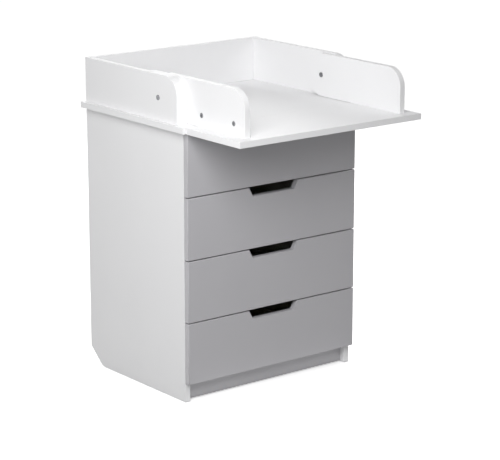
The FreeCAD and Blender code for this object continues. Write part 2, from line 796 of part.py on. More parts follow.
def drawer_front(name, z):
    """A front with a slanted grip cut-out in the middle of its top edge and soft front edges."""
    half = width / 2
    grip_low = front_high - cell("grip_deep")
    corners = [
        (-half, 0),
        (half, 0),
        (half, front_high),
        (cell("grip_top") / 2, front_high),
        (cell("grip_bottom") / 2, grip_low),
        (-(cell("grip_bottom") / 2), grip_low),
        (-(cell("grip_top") / 2), front_high),
        (-half, front_high),
    ]
    body = padded(name, FACE, corners, cell("front_thick"), True)
    arris = cell("front_arris")
    round_edges(body, "arris", arris, lambda edge: edge.BoundBox.YMax < NEAR_ZERO)
    inner_face = -cell("front_thick")
    slot_half = box_inside + tongue
    slot = rectangle(-slot_half, box_lift + bottom_low, slot_half, box_lift + bottom_high)
    cut_slot(body, "groove", FACE, inner_face, slot, tongue + fit, True)
    seats = [(side * box_axis, box_lift + box_pin) for side in (-1, 1)]
    bore(body, "pins", FACE, inner_face, seats, pin_seat_round, pin_seat + fit, True, PIN_FLATS)
    return place(body, 0, front_face, z)


def drawer_side(name, x, inner_level, cut_reverse, z):
    corners = rectangle(0, 0, box_long, cell("box_high"))
    body = padded(name, SIDE, corners, cell("box_side"))
    slot = rectangle(0, bottom_low, box_long, bottom_high)
    cut_slot(body, "groove", SIDE, inner_level, slot, tongue, cut_reverse)
    cam_seat = [(cam_inset, box_pin)]
    bore(
        body, "cam", SIDE, inner_level, cam_seat,
        cam_seat_round, cam_seat_deep, cut_reverse, CAM_FLATS,
    )
    pin_way = [(cell("box_side") / 2, box_pin)]
    bore(body, "pin", FACE, 0, pin_way, cell("bore_round"), cam_inset, False, PIN_FLATS)
    return place(body, x, front_back, z)


def drawer_fixings(name, z):
    pieces = []
    cam_y = front_back + cam_inset
    pin_level = cell("box_side") / 2
    for side, tag, turn in ((-1, "left", AGAINST_X), (1, "right", ALONG_X)):
        cam_x = side * box_inside
        cam_name = f"{name}_cam_{tag}"
        pieces.append(cam(cam_name, pin_level, CAM_FLATS, cam_x, cam_y, z + box_pin, turn, -90))
        pin_place = (side * box_axis, front_back - pin_seat, z + box_pin)
        pin_name = f"{name}_pin_{tag}"
        pieces.append(
            rod(pin_name, cell("pin_round"), pin_long, *pin_place, ALONG_Y, PIN_FLATS)
        )
    joined(name, "Part::Compound", pieces)


for number, front_low in drawer_levels.items():
    name = f"drawer_{number}"
    box_low = front_low + box_lift
    drawer_front(f"{name}_front", front_low)
    drawer_side(f"{name}_side_left", -box_half, cell("box_side"), False, box_low)
    drawer_side(f"{name}_side_right", box_inside, Size(0), True, box_low)
    corners = rectangle(-box_inside, 0, box_inside, cell("box_high") - bottom_high)
    back = padded(f"{name}_back", FACE, corners, cell("box_side"))
    place(back, 0, box_back, box_low + bottom_high)
    bottom_reach = tongue - cell("panel_gap")
    bottom_half = box_inside + bottom_reach
    corners = rectangle(-bottom_half, -bottom_reach, bottom_half, box_long)
    bottom = padded(f"{name}_bottom", FLOOR, corners, cell("drawer_bottom"))
    place(bottom, 0, front_back, box_low + cell("bottom_lift"))
    drawer_fixings(f"{name}_fixings", box_low)


# ---------------------------------------------------------------- checks and export

doc.recompute()
failed = [item.Name for item in doc.Objects if {"Invalid", "Error"} & set(item.State)]
if failed:
    raise ValueError(f"these objects failed: {failed}")

SUB_PARTS = [
    "side_panel_left", "side_panel_right", "cabinet_top", "bottom_panel", "back_panel",
    "plinth_board", "cabinet_cams", "cabinet_cam_pins", "dowels", "rail_screws", "wood_screws",
    "changing_board", "rail_left", "rail_right", "rail_back", "packing_board",
    "hinge_bolts", "hinge_sleeves", "slide_outer_left", "slide_outer_right",
    "leaf_board", "leaf_rail_left", "leaf_rail_right", "leaf_cams", "leaf_cam_pins",
]
for number in drawer_levels:
    SUB_PARTS += [f"slide_middle_{number}", f"slide_inner_{number}"]
    for piece in ("front", "side_left", "side_right", "back", "bottom", "fixings"):
        SUB_PARTS.append(f"drawer_{number}_{piece}")

os.makedirs("parts", exist_ok=True)
solid_count = 0
for label in SUB_PARTS:
    shape = doc.getObjectsByLabel(label)[0].Shape
    if shape.isNull() or not shape.isValid():
        raise ValueError(f"{label} has no valid shape")
    solid_count += len(shape.Solids)
    shape.exportStep(f"parts/{label}.step")
print(f"{len(SUB_PARTS)} sub-parts, {solid_count} solids")
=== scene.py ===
import json
import math

import bmesh
import bpy
from mathutils import Matrix, Vector


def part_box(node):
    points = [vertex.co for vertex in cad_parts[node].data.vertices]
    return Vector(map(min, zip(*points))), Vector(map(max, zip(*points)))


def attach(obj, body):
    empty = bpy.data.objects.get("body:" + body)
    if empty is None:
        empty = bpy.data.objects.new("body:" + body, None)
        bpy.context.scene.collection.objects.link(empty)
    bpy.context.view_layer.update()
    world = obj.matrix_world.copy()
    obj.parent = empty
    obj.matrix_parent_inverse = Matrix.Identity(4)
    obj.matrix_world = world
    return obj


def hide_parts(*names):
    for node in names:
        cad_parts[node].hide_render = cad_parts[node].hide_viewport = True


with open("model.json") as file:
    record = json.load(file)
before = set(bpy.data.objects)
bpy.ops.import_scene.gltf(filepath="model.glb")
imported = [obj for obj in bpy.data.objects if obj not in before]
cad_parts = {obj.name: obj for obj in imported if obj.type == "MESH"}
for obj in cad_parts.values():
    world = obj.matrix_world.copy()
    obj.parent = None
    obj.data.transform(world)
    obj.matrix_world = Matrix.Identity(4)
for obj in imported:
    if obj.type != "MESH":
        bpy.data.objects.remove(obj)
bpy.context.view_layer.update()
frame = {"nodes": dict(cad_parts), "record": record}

# A changing dresser: a cabinet of four drawers, a railed changing surround on top of it and a
# railed leaf that folds back into the surround. Metres; +Z is up and -Y is the front.


# ---------------------------------------------------------------- cabinet panels
# Two side panels, a bottom and a top are white melamine-faced chipboard, 18 mm thick. They are
# sawn to size and edge-banded with a plastic strip. The trimmed banding rounds each arris,
# which gives the edges a thin bright line.

MM = 0.001
WHITE_BOARD = "#EFEFF0"
WHITE_BOARD_CLOUD = "#EBEBEC"
BAND_ROUND = 0.8 * MM
PEARL = 1.2 * MM          # size of the press plate's pearl grain
GRAIN_DRAWN = 4           # a board's grain is drawn four times as coarse, so that it shows
GLOSS_PLAY = 0.05         # a board's roughness wanders this far to either side
CLOUD = 180 * MM          # breadth of the faint clouds in a board's tone
MIX_FIRST = 6             # the colour inputs and the colour output of a Mix node
MIX_SECOND = 7
MIX_RESULT = 2
WELD = 0.005 * MM         # corners of a solid that are nearer than this are one
FLAT_BEND = 0.5           # degrees; triangles that meet at less are one flat face
SHARP_BEND = 40           # degrees; an edge that bends more is shaded sharp
ARRIS_BEND = 50           # degrees; an edge that bends more is an arris
BORE_BEND = 1             # degrees; the flats of a bore meet at more than this
SHORT_EDGE = 4.5 * MM     # shorter edges, such as those of a bore's flats, are left sharp


def colour(code):
    """An sRGB hex value as the linear colour that a shader takes."""
    parts = [int(code[place:place + 2], 16) / 255 for place in (1, 3, 5)]
    linear = [p / 12.92 if p <= 0.04045 else ((p + 0.055) / 1.055) ** 2.4 for p in parts]
    return (*linear, 1.0)


def add_node(owner, kind, inputs=None, **settings):
    """Adds a node to a material or a world. An input takes a value, or the output that feeds it."""
    node = owner.node_tree.nodes.new(kind)
    for name, value in settings.items():
        setattr(node, name, value)
    for name, value in (inputs or {}).items():
        if isinstance(value, bpy.types.NodeSocket):
            owner.node_tree.links.new(value, node.inputs[name])
        else:
            node.inputs[name].default_value = value
    return node


def new_material(name):
    material = bpy.data.materials.new(name)
    material.use_nodes = True
    material.node_tree.nodes.clear()
    return material


def finish_surface(material, shader):
    add_node(material, "ShaderNodeOutputMaterial", {"Surface": shader.outputs["BSDF"]})
    return material


def make_board_finish(name, tone, cloud_tone, rough, grain, grain_depth):
    """A pressed or sprayed board face: nearly even, softly glossy, with a fine raised grain."""
    material = new_material(name)
    place = add_node(material, "ShaderNodeTexCoord").outputs["Object"]
    cloud = add_node(
        material, "ShaderNodeTexNoise", {"Vector": place, "Scale": 1 / CLOUD, "Detail": 2}
    )
    tones = add_node(
        material, "ShaderNodeMix",
        {
            "Factor": cloud.outputs["Fac"],
            MIX_FIRST: colour(tone),
            MIX_SECOND: colour(cloud_tone),
        },
        data_type="RGBA",
    )
    pearl = add_node(
        material, "ShaderNodeTexNoise",
        {"Vector": place, "Scale": 1 / (grain * GRAIN_DRAWN), "Detail": 3, "Roughness": 0.6},
    )
    gloss = add_node(
        material, "ShaderNodeMapRange",
        {
            "Value": pearl.outputs["Fac"],
            "To Min": rough - GLOSS_PLAY,
            "To Max": rough + GLOSS_PLAY,
        },
    )
    relief = add_node(
        material, "ShaderNodeBump",
        {"Height": pearl.outputs["Fac"], "Strength": 0.25, "Distance": grain_depth},
    )
    shader = add_node(
        material, "ShaderNodeBsdfPrincipled",
        {
            "Base Color": tones.outputs[MIX_RESULT],
            "Roughness": gloss.outputs["Result"],
            "Normal": relief.outputs["Normal"],
            "IOR": 1.5,
        },
    )
    return finish_surface(material, shader)


# Melamine paper pressed on chipboard: an even white with a dull gloss and a pearl grain.
white_melamine = make_board_finish(
    "white_melamine_pressed", WHITE_BOARD, WHITE_BOARD_CLOUD,
    rough=0.42, grain=PEARL, grain_depth=0.05 * MM,
)


def body_of(node):
    bodies = frame["record"]["behaviour"]["bodies"]
    return next(body for body, nodes in bodies.items() if node in nodes)


def to_object(shape, name, materials, node, stands_for=True):
    """Makes a piece that rides with a node, and stands for it unless told otherwise."""
    mesh = bpy.data.meshes.new(name)
    for face in shape.faces:
        face.smooth = True
    shape.to_mesh(mesh)
    shape.free()
    mesh.set_sharp_from_angle(angle=math.radians(SHARP_BEND))
    for material in materials:
        mesh.materials.append(material)
    piece = bpy.data.objects.new(name, mesh)
    bpy.context.scene.collection.objects.link(piece)
    weighted = piece.modifiers.new("flat_faces", "WEIGHTED_NORMAL")
    weighted.keep_sharp = True
    weighted.weight = 100     # the largest faces set the normals
    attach(piece, body_of(node))
    if stands_for:
        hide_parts(node)


def merged_copy(node):
    """The node's solids as closed meshes with plain flat faces."""
    shape = bmesh.new()
    shape.from_mesh(frame["nodes"][node].data)
    bmesh.ops.remove_doubles(shape, verts=shape.verts, dist=WELD)
    bmesh.ops.dissolve_limit(
        shape, angle_limit=math.radians(FLAT_BEND), verts=shape.verts, edges=shape.edges
    )
    return shape


def ease(shape, edges, width, segments=2):
    """Breaks some edges of a shape with a small round."""
    bmesh.ops.bevel(
        shape, geom=edges, offset=width, offset_type="OFFSET", segments=segments, profile=0.5,
        affect="EDGES", clamp_overlap=True, material=-1,
    )


def is_bore_wall(face):
    """Whether a face is one flat of a round bore, whose flats meet at a slight inward bend."""
    bends = [math.degrees(edge.calc_face_angle_signed(0)) for edge in face.edges]
    return any(-ARRIS_BEND < bend < -BORE_BEND for bend in bends)


def cut_board(node, name, material, arris=BAND_ROUND, shortest=SHORT_EDGE):
    """A board with the arrises of its long edges broken, and its bores left sharp."""
    shape = merged_copy(node)
    edges = [
        edge for edge in shape.edges
        if edge.calc_length() > shortest
        and edge.calc_face_angle(0) > math.radians(ARRIS_BEND)
        and not any(is_bore_wall(face) for face in edge.link_faces)
    ]
    ease(shape, edges, arris)
    to_object(shape, name, [material], node)


for node, name in {
    "side_panel_left": "left_side_panel",
    "side_panel_right": "right_side_panel",
    "bottom_panel": "carcass_bottom",
    "cabinet_top": "carcass_top",
}.items():
    cut_board(node, name, white_melamine)


# ---------------------------------------------------------------- plinth
# The plinth closes the cabinet under the lowest drawer. It is fibreboard, lacquered like the
# drawer fronts, and stands between the side panels on two dowels at each end.

GREY_LACQUER = "#BBBABD"
GREY_LACQUER_CLOUD = "#B7B6BA"
SPRAY_GRAIN = 1.5 * MM

# Sprayed lacquer on fibreboard: a cool light grey, satin, with the flow marks of the spray.
grey_lacquer = make_board_finish(
    "grey_lacquer_sprayed", GREY_LACQUER, GREY_LACQUER_CLOUD,
    rough=0.38, grain=SPRAY_GRAIN, grain_depth=0.04 * MM,
)
cut_board("plinth_board", "plinth", grey_lacquer)


# ---------------------------------------------------------------- dowels
# Fluted beech dowels, 8 by 30 mm, glued between the plinth or the back rail and the boards at
# their ends. The flutes let the glue out, and each end is chamfered to start in its bore.

DOWEL_ROUND = 4 * MM
DOWEL_CHAMFER = 0.8 * MM
FLUTE_DEEP = 0.3 * MM
FLUTES = 12
SEAM = 0.001 * MM         # corners of a turned piece that are nearer than this are one
BEECH = "#C9A27A"
BEECH_DARK = "#B58A60"
BEECH_FIBRE = 0.5 * MM
FIBRE_RUN = 0.12          # the fibres run with the dowel, so their pattern is drawn out there


def solids_of(node):
    """The low and high corners of each separate solid of a node, from left to right."""
    shape = merged_copy(node)
    waiting = set(shape.verts)
    boxes = []
    while waiting:
        island = [waiting.pop()]
        for vert in island:   # which grows until it holds the whole solid
            near = {edge.other_vert(vert) for edge in vert.link_edges} & waiting
            waiting -= near
            island.extend(near)
        low = Vector([min(vert.co[axis] for vert in island) for axis in range(3)])
        high = Vector([max(vert.co[axis] for vert in island) for axis in range(3)])
        boxes.append((low, high))
    shape.free()
    return sorted(boxes, key=lambda box: box[0][:])


def ends_of(low, high, axis):
    """The middles of the two end faces of a box along the axis X, Y or Z, the lower one first."""
    place = "XYZ".index(axis)
    start = (low + high) / 2
    end = start.copy()
    start[place] = low[place]
    end[place] = high[place]
    return start, end


def turned(profile, steps=24):
    """A turned piece that stands on its own +Z axis, from (height, radius) pairs."""
    piece = bmesh.new()
    points = [piece.verts.new((radius, 0, height)) for height, radius in profile]
    for pair in zip(points, points[1:]):
        piece.edges.new(pair)
    bmesh.ops.spin(
        piece, geom=piece.verts[:] + piece.edges[:], cent=(0, 0, 0), axis=(0, 0, 1),
        angle=math.tau, steps=steps, use_merge=True,
    )
    bmesh.ops.remove_doubles(piece, verts=piece.verts, dist=SEAM)
    bmesh.ops.recalc_face_normals(piece, faces=piece.faces)
    return piece


def set_in(shape, piece, start, toward):
    """Adds a piece to a shape, moved from its own axis onto the line from start."""
    turn = Vector((0, 0, 1)).rotation_difference(toward - start).to_matrix().to_4x4()
    piece.transform(Matrix.Translation(start) @ turn)
    part = bpy.data.meshes.new("part")
    piece.to_mesh(part)
    piece.free()
    shape.from_mesh(part)
    bpy.data.meshes.remove(part)


# Beech: pink-brown wood with short dark fibres, sanded and unlacquered.
beech = new_material("beech_turned")
place = add_node(beech, "ShaderNodeTexCoord").outputs["Object"]
drawn_out = add_node(
    beech, "ShaderNodeMapping",
    {"Vector": place, "Scale": (FIBRE_RUN / BEECH_FIBRE, 1 / BEECH_FIBRE, 1 / BEECH_FIBRE)},
)
fibre = add_node(
    beech, "ShaderNodeTexNoise", {"Vector": drawn_out.outputs["Vector"], "Scale": 1, "Detail": 3}
)
wood_tone = add_node(
    beech, "ShaderNodeMix",
    {"Factor": fibre.outputs["Fac"], MIX_FIRST: colour(BEECH), MIX_SECOND: colour(BEECH_DARK)},
    data_type="RGBA",
)
wood_relief = add_node(
    beech, "ShaderNodeBump",
    {"Height": fibre.outputs["Fac"], "Strength": 0.3, "Distance": 0.05 * MM},
)
wood = add_node(
    beech, "ShaderNodeBsdfPrincipled",
    {
        "Base Color": wood_tone.outputs[MIX_RESULT],
        "Normal": wood_relief.outputs["Normal"],
        "Roughness": 0.65,
    },
)
finish_surface(beech, wood)

dowels = bmesh.new()
for low, high in solids_of("dowels"):
    start, end = ends_of(low, high, "X")
    long = (end - start).length
    profile = [
        (0, 0),
        (0, DOWEL_ROUND - DOWEL_CHAMFER),
        (DOWEL_CHAMFER, DOWEL_ROUND),
        (long - DOWEL_CHAMFER, DOWEL_ROUND),
        (long, DOWEL_ROUND - DOWEL_CHAMFER),
        (long, 0),
    ]
    dowel = turned(profile, steps=2 * FLUTES)
    # Every other line of corners is drawn in for a flute, but not the middles of the ends.
    for vert in dowel.verts:
        line = round(math.atan2(vert.co.y, vert.co.x) / math.tau * 2 * FLUTES)
        if line % 2 and math.hypot(vert.co.x, vert.co.y) > DOWEL_ROUND / 2:
            vert.co.x *= 1 - FLUTE_DEEP / DOWEL_ROUND
            vert.co.y *= 1 - FLUTE_DEEP / DOWEL_ROUND
    set_in(dowels, dowel, start, end)
to_object(dowels, "fluted_dowels", [beech], "dowels")


# ---------------------------------------------------------------- cams and pins of the cabinet
# The bottom and the top are drawn to the side panels by eight cams, 15 mm die-cast discs turned
# by a cross-head driver. Each hooks the neck of a steel pin screwed into the side panel.

CAM_ROUND = 7.5 * MM
CAM_RIM = 0.5 * MM
CAM_CROSS = 8.5 * MM
CAM_CROSS_WIDE = 2.2 * MM
CAM_CROSS_DEEP = 3 * MM
CAM_STEPS = 32
CROSS_TAPER = 0.8         # the bottom of a cross recess is this share of its mouth
PIN_ROUND = 3 * MM
PIN_NECK = 1.9 * MM
PIN_NECK_LONG = 3.5 * MM
PIN_HEAD = 3 * MM
PIN_BEVEL = 0.6 * MM
PIN_COLLAR = 0.9 * MM     # height of the cone from the neck to the full round
PIN_THREAD = 11 * MM
THREAD_RISE = 0.6 * MM
THREAD_PITCH = 1.8 * MM
THREAD_ROOT = 0.2         # share of its rise by which a thread is let into the core
THREAD_STEPS = 12
METAL_GLOSS_PLAY = 0.08


def make_metal(name, tone, dark_tone, rough, grain, stretch=(1, 1, 1)):
    """A metal whose tone and gloss wander with a fine grain, stretched the way it was rolled."""
    material = new_material(name)
    place = add_node(material, "ShaderNodeTexCoord").outputs["Object"]
    scale = [part / grain for part in stretch]
    laid = add_node(material, "ShaderNodeMapping", {"Vector": place, "Scale": scale})
    noise = add_node(
        material, "ShaderNodeTexNoise",
        {"Vector": laid.outputs["Vector"], "Scale": 1, "Detail": 3},
    )
    tones = add_node(
        material, "ShaderNodeMix",
        {"Factor": noise.outputs["Fac"], MIX_FIRST: colour(tone), MIX_SECOND: colour(dark_tone)},
        data_type="RGBA",
    )
    gloss = add_node(
        material, "ShaderNodeMapRange",
        {
            "Value": noise.outputs["Fac"],
            "To Min": rough - METAL_GLOSS_PLAY,
            "To Max": rough + METAL_GLOSS_PLAY,
        },
    )
    shader = add_node(
        material, "ShaderNodeBsdfPrincipled",
        {
            "Base Color": tones.outputs[MIX_RESULT],
            "Roughness": gloss.outputs["Result"],
            "Metallic": 1.0,
        },
    )
    return finish_surface(material, shader)


# Bright zinc plating on steel and die-castings: light grey, faintly blue, softly mottled.
zinc = make_metal("zinc_bright_plated", "#C3C7CC", "#A2A7AD", rough=0.34, grain=2.5 * MM)


def sink_recess(piece, border, mouth, into):
    """Fills the flat ring between a border and some faces, and sinks these as a recess."""
    outline = [edge for face in mouth for edge in face.edges if len(edge.link_faces) == 1]
    bmesh.ops.triangle_fill(piece, use_beauty=True, edges=border + outline)
    sunk = bmesh.ops.extrude_face_region(piece, geom=mouth)
    bottom = [item for item in sunk["geom"] if isinstance(item, bmesh.types.BMVert)]
    bmesh.ops.delete(piece, geom=[face for face in mouth if face.is_valid], context="FACES_ONLY")
    bmesh.ops.translate(piece, verts=bottom, vec=into)
    return bottom


def cross_end(piece, height, rim, cross_long, cross_wide, deep, steps=24):
    """Closes the top of a turned piece with a flat face that has a cross recess."""
    top = Matrix.Translation((0, 0, height))
    bmesh.ops.create_circle(piece, cap_ends=False, radius=rim, segments=steps, matrix=top)
    border = [edge for edge in piece.edges if not edge.link_faces]
    # The outer lines of a three by three grid go to the ends of the cross, at 1 from the
    # middle, and the inner ones to the sides of its arms.
    grid = bmesh.ops.create_grid(piece, x_segments=3, y_segments=3, size=1, matrix=top)
    for vert in grid["verts"]:
        for axis in (0, 1):
            wide = cross_long if abs(vert.co[axis]) > 0.5 else cross_wide
            vert.co[axis] = math.copysign(wide / 2, vert.co[axis])
    cells = list(dict.fromkeys(face for vert in grid["verts"] for face in vert.link_faces))
    corners = [
        face for face in cells
        if min(abs(face.calc_center_median()[axis]) for axis in (0, 1)) > cross_wide / 2
    ]
    cross = [face for face in cells if face not in corners]
    bmesh.ops.delete(piece, geom=corners, context="FACES")
    bottom = sink_recess(piece, border, cross, (0, 0, -deep))
    bmesh.ops.scale(piece, verts=bottom, vec=(CROSS_TAPER, CROSS_TAPER, 1))
    bmesh.ops.remove_doubles(piece, verts=piece.verts, dist=SEAM)
    bmesh.ops.recalc_face_normals(piece, faces=piece.faces)


def cam_disc(deep):
    """A cam that stands on its axis, its driver recess on top."""
    rim = CAM_ROUND - CAM_RIM
    profile = [
        (0, 0),
        (0, rim),
        (CAM_RIM, CAM_ROUND),
        (deep - CAM_RIM, CAM_ROUND),
        (deep, rim),
    ]
    piece = turned(profile, steps=CAM_STEPS)
    cross_end(piece, deep, rim, CAM_CROSS, CAM_CROSS_WIDE, CAM_CROSS_DEEP, steps=CAM_STEPS)
    return piece


def add_thread(piece, low, high, core, rise, pitch):
    """Winds a closed thread of a triangular section round a piece's axis."""
    root = core - THREAD_ROOT * rise
    ridge = [
        piece.verts.new((root, 0, low)),
        piece.verts.new((core + rise, 0, low + pitch / 4)),
        piece.verts.new((root, 0, low + pitch / 2)),
    ]
    flank = [piece.edges.new(pair) for pair in zip(ridge, ridge[1:] + ridge[:1])]
    turns = int((high - low - pitch / 2) / pitch)
    wound = bmesh.ops.spin(
        piece, geom=ridge + flank, cent=(0, 0, 0), axis=(0, 0, 1),
        dvec=(0, 0, pitch / THREAD_STEPS), angle=math.tau * turns, steps=THREAD_STEPS * turns,
    )
    last = [item for item in wound["geom_last"] if isinstance(item, bmesh.types.BMVert)]
    piece.faces.new(ridge)
    piece.faces.new(last)
    bmesh.ops.recalc_face_normals(piece, faces=piece.faces)


def cam_pin(long):
    """A pin that stands on its head, which the cam hooks, and screws into a board on top."""
    neck_top = PIN_HEAD + PIN_NECK_LONG
    thread_low = long - PIN_THREAD
    core = PIN_ROUND - THREAD_RISE
    point = core / 2
    profile = [
        (0, 0),
        (0, PIN_ROUND - PIN_BEVEL),
        (PIN_BEVEL, PIN_ROUND),
        (PIN_HEAD - PIN_BEVEL, PIN_ROUND),
        (PIN_HEAD, PIN_NECK),
        (neck_top, PIN_NECK),
        (neck_top + PIN_COLLAR, PIN_ROUND),
        (thread_low - PIN_BEVEL, PIN_ROUND),
        (thread_low, core),
        (long - point, core),
        (long, point),
        (long, 0),
    ]
    piece = turned(profile, steps=16)
    add_thread(piece, thread_low, long - point, core, THREAD_RISE, THREAD_PITCH)
    return piece


cams = bmesh.new()
for low, high in solids_of("cabinet_cams"):
    below, above = ends_of(low, high, "Z")
    set_in(cams, cam_disc((above - below).length), above, below)
to_object(cams, "carcass_cams", [zinc], "cabinet_cams")

pins = bmesh.new()
for low, high in solids_of("cabinet_cam_pins"):
    inner, outer = sorted(ends_of(low, high, "X"), key=lambda end: abs(end.x))
    set_in(pins, cam_pin((outer - inner).length), inner, outer)
to_object(pins, "carcass_cam_pins", [zinc], "cabinet_cam_pins")


# ---------------------------------------------------------------- back panel
# A sheet of 3 mm hardboard slides into grooves in the side panels. Its inner face is lacquered
# white. Its outer face is left brown, as the press made it.

FIBRE_BROWN = "#B8946C"
FIBRE_DARK = "#94734F"
FIBRE_LONG = 9 * MM       # drawn about four times as coarse as the real fibres

# White lacquer on hardboard: even and rather matt.
white_hardboard = make_board_finish(
    "hardboard_white_lacquered", "#EEEEEC", "#EAEAE8",
    rough=0.5, grain=2 * MM, grain_depth=0.03 * MM,
)

# Bare hardboard: pressed brown wood fibre with a matted pattern, matt.
bare_hardboard = new_material("hardboard_bare_fibre")
place = add_node(bare_hardboard, "ShaderNodeTexCoord").outputs["Object"]
fibres = add_node(
    bare_hardboard, "ShaderNodeTexNoise",
    {"Vector": place, "Scale": 1 / FIBRE_LONG, "Detail": 6, "Roughness": 0.7, "Distortion": 1.5},
)
fibre_tone = add_node(
    bare_hardboard, "ShaderNodeMix",
    {
        "Factor": fibres.outputs["Fac"],
        MIX_FIRST: colour(FIBRE_BROWN),
        MIX_SECOND: colour(FIBRE_DARK),
    },
    data_type="RGBA",
)
fibre_relief = add_node(
    bare_hardboard, "ShaderNodeBump",
    {"Height": fibres.outputs["Fac"], "Strength": 0.3, "Distance": 0.1 * MM},
)
bare = add_node(
    bare_hardboard, "ShaderNodeBsdfPrincipled",
    {
        "Base Color": fibre_tone.outputs[MIX_RESULT],
        "Normal": fibre_relief.outputs["Normal"],
        "Roughness": 0.75,
    },
)
finish_surface(bare_hardboard, bare)


def hardboard_sheet(node, name, bare_way):
    """A sheet with white lacquer on the face away from bare_way, and bare on the rest."""
    shape = merged_copy(node)
    for face in shape.faces:
        face.material_index = 0 if face.normal.dot(bare_way) < -0.5 else 1
    to_object(shape, name, [white_hardboard, bare_hardboard], node)


hardboard_sheet("back_panel", "back_sheet", Vector((0, 1, 0)))


# ---------------------------------------------------------------- drawer slides
# Each drawer runs on a pair of full-extension ball-bearing slides, 45 mm high. A slide has an
# outer, a middle and an inner member, roll-formed from zinc-coated steel strip, 1.2 mm thick,
# with rows of steel balls in cages between them.

DRAWERS = (1, 2, 3, 4)    # from the top down
SHEET = 1.2 * MM
BEND_EASE = 0.35 * MM
STRIP_BEND = 30           # degrees; the strip is bent by more than this in the rolls
STRIP_LONG = 100 * MM     # a bend runs the length of a member, well over this
BALL_PITCH = 18 * MM
BALL_PLAY = 0.1 * MM
CAGE_THICK = 1 * MM
CAGE_WIDE = 2.2           # in radii of its balls
CAGE_EASE = 0.2 * MM
ROW_START = 0.03          # the ends of a row of balls, as shares of the middle member's length
ROW_END = 0.44

# Zinc-coated strip: light grey, drawn along its length through the rolls.
slide_strip = make_metal(
    "zinc_coated_strip_rolled", "#C9CCCF", "#A9ADB1",
    rough=0.36, grain=1.6 * MM, stretch=(1, 0.04, 1),
)
# Ground bearing balls: a hard bright steel.
ball_steel = make_metal(
    "bearing_steel_ground", "#D6D8DA", "#C4C7CA", rough=0.16, grain=3 * MM
)


def rolled_member(node, name):
    """The members of a node, with their bends rounded."""
    shape = merged_copy(node)
    bends = [
        edge for edge in shape.edges
        if edge.calc_length() > STRIP_LONG
        and edge.calc_face_angle(0) > math.radians(STRIP_BEND)
    ]
    ease(shape, bends, BEND_EASE)
    to_object(shape, name, [slide_strip], node)


def ball_row(balls, cages, x, z, ball, near, far):
    """A row of balls in a flat cage, along the slide from near to far."""
    count = int((far - near) / BALL_PITCH)
    for number in range(count):
        y = near + (number + 0.5) * BALL_PITCH
        bmesh.ops.create_icosphere(
            balls, subdivisions=2, radius=ball, matrix=Matrix.Translation((x, y, z))
        )
    size = Matrix.Diagonal((CAGE_WIDE * ball, count * BALL_PITCH, CAGE_THICK, 1))
    middle = Matrix.Translation((x, near + count * BALL_PITCH / 2, z))
    bmesh.ops.create_cube(cages, size=1, matrix=middle @ size)


for side in ("left", "right"):
    rolled_member(f"slide_outer_{side}", f"outer_slides_{side}")

# The outer and middle members leave the same gap in every slide, so it is read at the top one.
outer_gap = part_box("slide_outer_left")[1][2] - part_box("slide_middle_1")[1][2] - SHEET
for drawer in DRAWERS:
    rolled_member(f"slide_middle_{drawer}", f"middle_slides_{drawer}")
    rolled_member(f"slide_inner_{drawer}", f"inner_slides_{drawer}")
    balls = bmesh.new()
    cages = bmesh.new()
    for middle, inner in zip(
        solids_of(f"slide_middle_{drawer}"), solids_of(f"slide_inner_{drawer}")
    ):
        middle_x = (middle[0].x + middle[1].x) / 2
        inner_x = (inner[0].x + inner[1].x) / 2
        inner_gap = inner[0].z - middle[0].z - SHEET
        near = middle[0].y
        long = middle[1].y - near
        for way, level in ((-1, middle[0].z), (1, middle[1].z)):
            ball_row(
                balls, cages, middle_x, level + way * outer_gap / 2, (outer_gap - BALL_PLAY) / 2,
                near + (1 - ROW_END) * long, near + (1 - ROW_START) * long,
            )
            ball_row(
                balls, cages, inner_x, level - way * (SHEET + inner_gap / 2),
                (inner_gap - BALL_PLAY) / 2, near + ROW_START * long, near + ROW_END * long,
            )
    ease(cages, cages.edges[:], CAGE_EASE, segments=1)
    for shape, name, material in (
        (balls, f"slide_balls_{drawer}", ball_steel),
        (cages, f"slide_ball_cages_{drawer}", slide_strip),
    ):
        to_object(
            shape, name, [material], f"slide_middle_{drawer}", stands_for=False
        )


# ---------------------------------------------------------------- drawer boxes
# The sides and the back of a drawer are 15 mm chipboard in white foil, and its bottom is
# hardboard, white inside, let into a groove. The front is drawn on by one cam on each side.

BOX_ARRIS = 0.5 * MM

# White foil glued on chipboard: smooth, a little warmer and duller than the melamine.
white_foil = make_board_finish(
    "white_foil_laminated", "#EDEDEB", "#E9E9E7", rough=0.5, grain=3 * MM, grain_depth=0.03 * MM
)

for drawer in DRAWERS:
    for board in ("side_left", "side_right", "back"):
        cut_board(
            f"drawer_{drawer}_{board}", f"box_{board}_{drawer}", white_foil,
            BOX_ARRIS,
        )
    hardboard_sheet(f"drawer_{drawer}_bottom", f"box_bottom_{drawer}", Vector((0, 0, -1)))
    node = f"drawer_{drawer}_fixings"
    fixings = bmesh.new()
    for low, high in solids_of(node):
        if high.z - low.z > CAM_ROUND:    # a cam stands on edge, and is higher than a pin
            outer, inner = sorted(ends_of(low, high, "X"), key=lambda end: -abs(end.x))
            set_in(fixings, cam_disc((inner - outer).length), outer, inner)
        else:
            front, back = ends_of(low, high, "Y")
            set_in(fixings, cam_pin((back - front).length), back, front)
    to_object(fixings, f"box_fixings_{drawer}", [zinc], node)


# ---------------------------------------------------------------- drawer fronts
# Four fronts of 18 mm fibreboard cover the cabinet's front edges. They are lacquered grey all
# round, with every arris sanded soft, and each has its grip sawn out of the top edge.

FRONT_ARRIS = 1.2 * MM

for drawer in DRAWERS:
    cut_board(
        f"drawer_{drawer}_front", f"front_{drawer}", grey_lacquer, FRONT_ARRIS
    )


